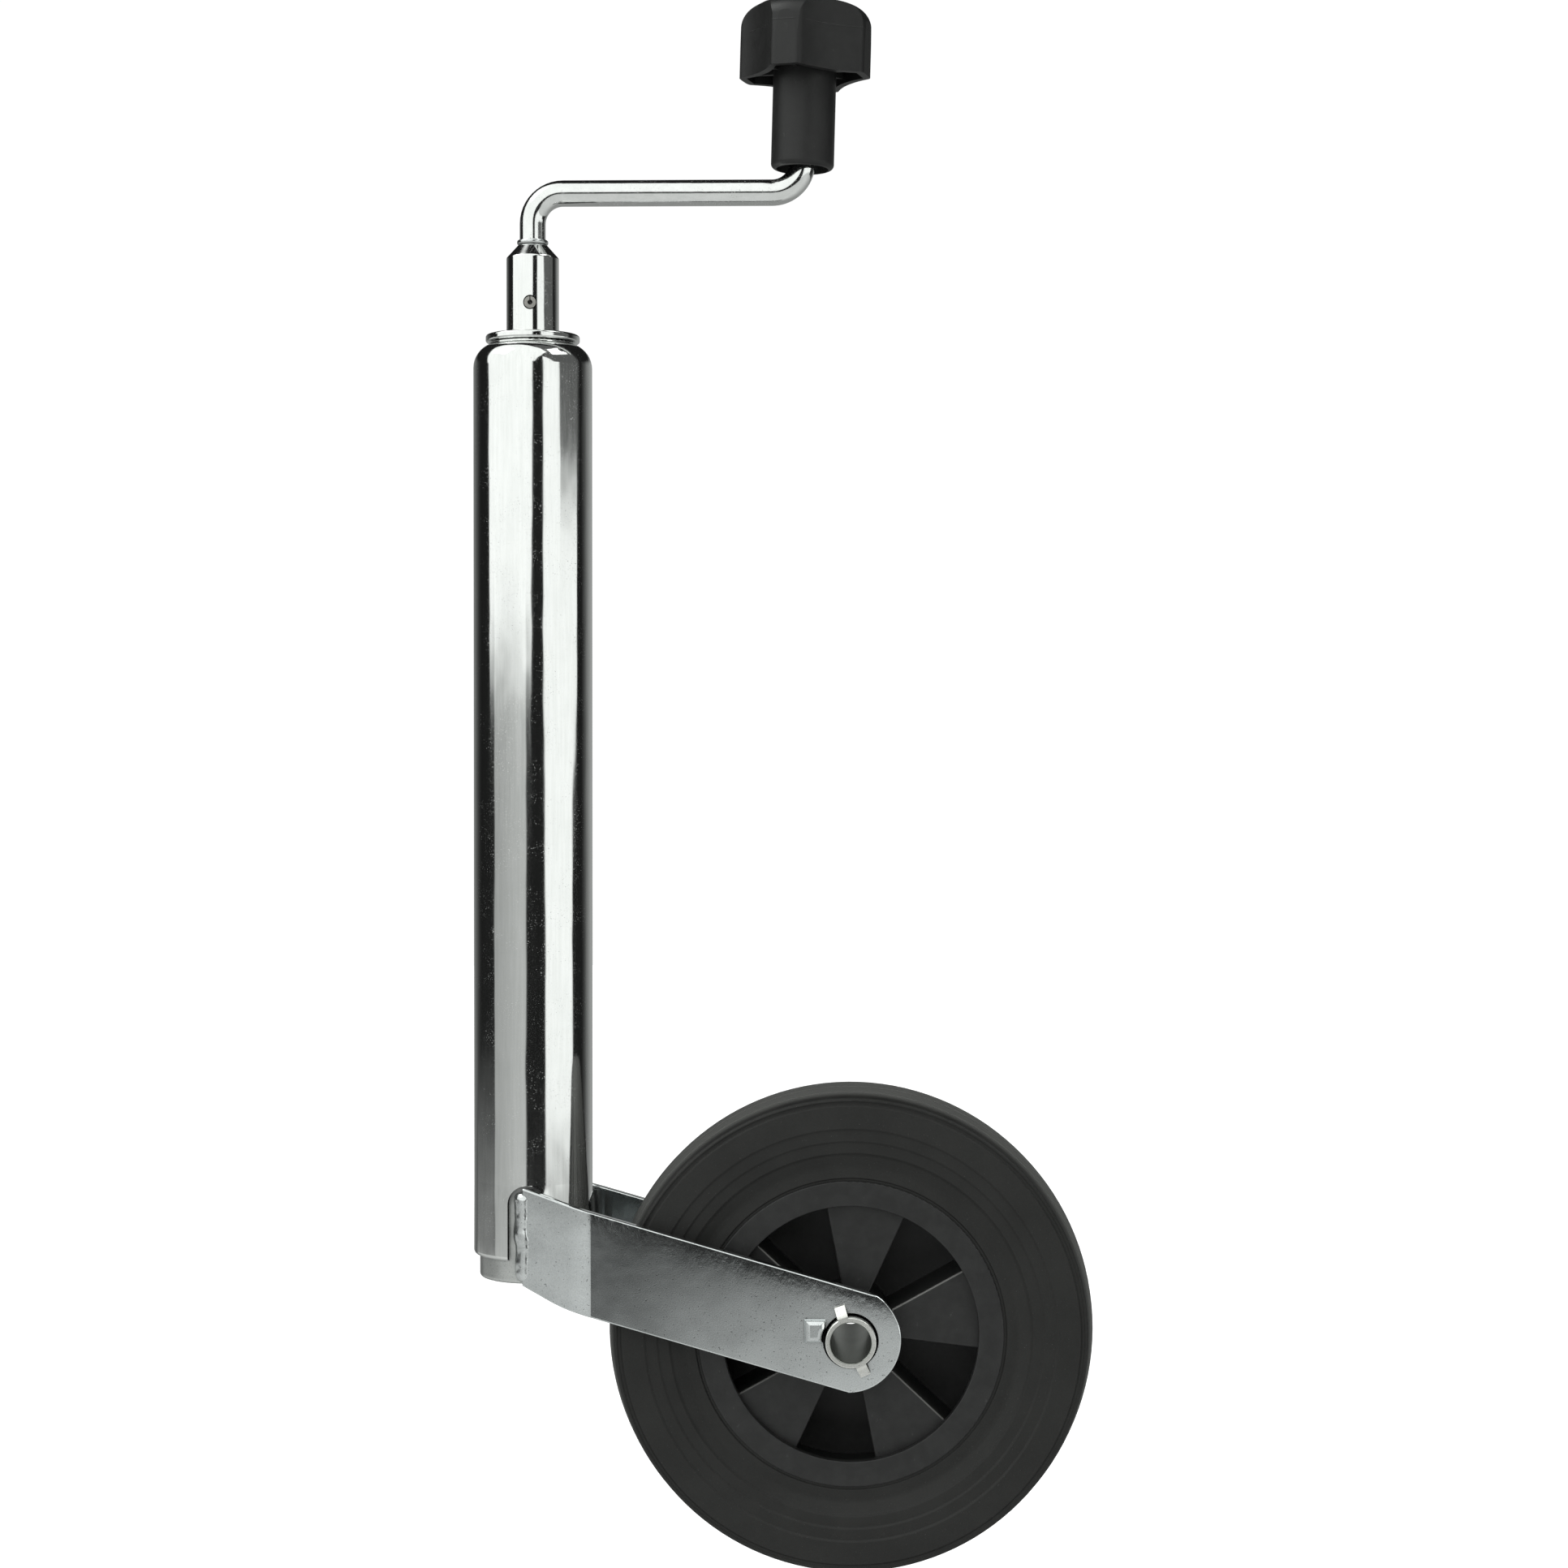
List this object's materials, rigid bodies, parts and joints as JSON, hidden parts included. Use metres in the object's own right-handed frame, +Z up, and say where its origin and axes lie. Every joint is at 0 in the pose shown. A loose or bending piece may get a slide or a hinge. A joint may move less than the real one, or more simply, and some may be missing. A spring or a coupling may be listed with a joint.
{
  "type": "trailer jockey wheel jack",
  "caption": "Clamp-on trailer jockey wheel: a telescoping tube jack with a top crank and a slanted fork that carries a solid rubber wheel.",
  "frame": {"origin": "on the outer tube's axis, at the middle of its plain 48 mm length", "axes": "+Z up along the tube to the crank, +X out to the wheel, +Y along the wheel's axle; the wheel's visible side in the picture faces -Y"},
  "size_m": [0.2508, 0.079, 0.6304],
  "materials": {
    "bright_zinc": "bright zinc plate, near mirror, with fine streaks along the tube",
    "rod_zinc": "bright zinc plate over drawn bar, with small pits",
    "dull_zinc": "dull grey zinc plate, fine matte grain",
    "fork_zinc": "satin grainy zinc plate with bright rubbed edges",
    "weld_zinc": "rough weld metal under zinc plate",
    "axle_zinc": "zinc plated seamed tube, dull inside",
    "plain_steel": "machined steel under grease",
    "bearing_steel": "ground bearing steel",
    "cage_steel": "pressed sheet steel",
    "spring_steel": "dark oiled spring steel",
    "nut_brass": "machined brass",
    "grip_plastic": "black moulded plastic, semi-gloss",
    "rim_plastic": "black moulded plastic with light scuffs",
    "tyre_rubber": "charcoal solid rubber, matte"
  },
  "bodies": {
    "outer": {"outer_tube": "bright_zinc", "bearing_seat": "plain_steel", "bearing_race_upper": "bearing_steel"},
    "bearing": {"bearing_cage": "cage_steel", "bearing_balls": "bearing_steel"},
    "crank": {"bearing_race_lower": "bearing_steel", "spindle": "plain_steel", "spindle_collar": "plain_steel", "collar_pin": "spring_steel", "spindle_stop_washer": "plain_steel", "spindle_stop_pin": "spring_steel", "cap_washer": "bright_zinc", "crank_socket": "bright_zinc", "crank_spring_pin": "spring_steel", "crank_rod": "rod_zinc", "rod_weld": "weld_zinc", "grip_retainer": "spring_steel"},
    "grip": {"grip": "grip_plastic", "grip_cap": "grip_plastic"},
    "leg": {"inner_tube": "dull_zinc", "spindle_nut": "nut_brass", "fork_arm_left": "fork_zinc", "fork_arm_right": "fork_zinc", "fork_welds": "weld_zinc", "axle_tube": "axle_zinc"},
    "wheel": {"wheel_rim": "rim_plastic", "wheel_tyre": "tyre_rubber"}
  },
  "joints": [
    {"name": "crank_turn", "type": "hinge", "parent": "outer", "child": "crank", "pos_m": [0, 0, 0.1884], "axis": [0, 0, 1], "range_deg": [0, 18000]},
    {"name": "bearing_roll", "type": "hinge", "parent": "outer", "child": "bearing", "pos_m": [0, 0, 0.1753], "axis": [0, 0, 1], "range_deg": [0, 9000]},
    {"name": "leg_slide", "type": "slide", "parent": "outer", "child": "leg", "axis": [0, 0, -1], "range_m": [0, 0.2]},
    {"name": "wheel_spin", "type": "hinge", "parent": "leg", "child": "wheel", "pos_m": [0.1289, 0, -0.2088], "axis": [0, 1, 0], "continuous": true},
    {"name": "grip_spin", "type": "hinge", "parent": "crank", "child": "grip", "pos_m": [0.109, 0, 0.2492], "axis": [0.0262, 0, 0.9997], "continuous": true}
  ],
  "couplings": [
    {"joint": "leg_slide", "follows": "crank_turn", "m_per_rad": 0.00063662},
    {"joint": "bearing_roll", "follows": "crank_turn", "ratio": 0.5}
  ]
}
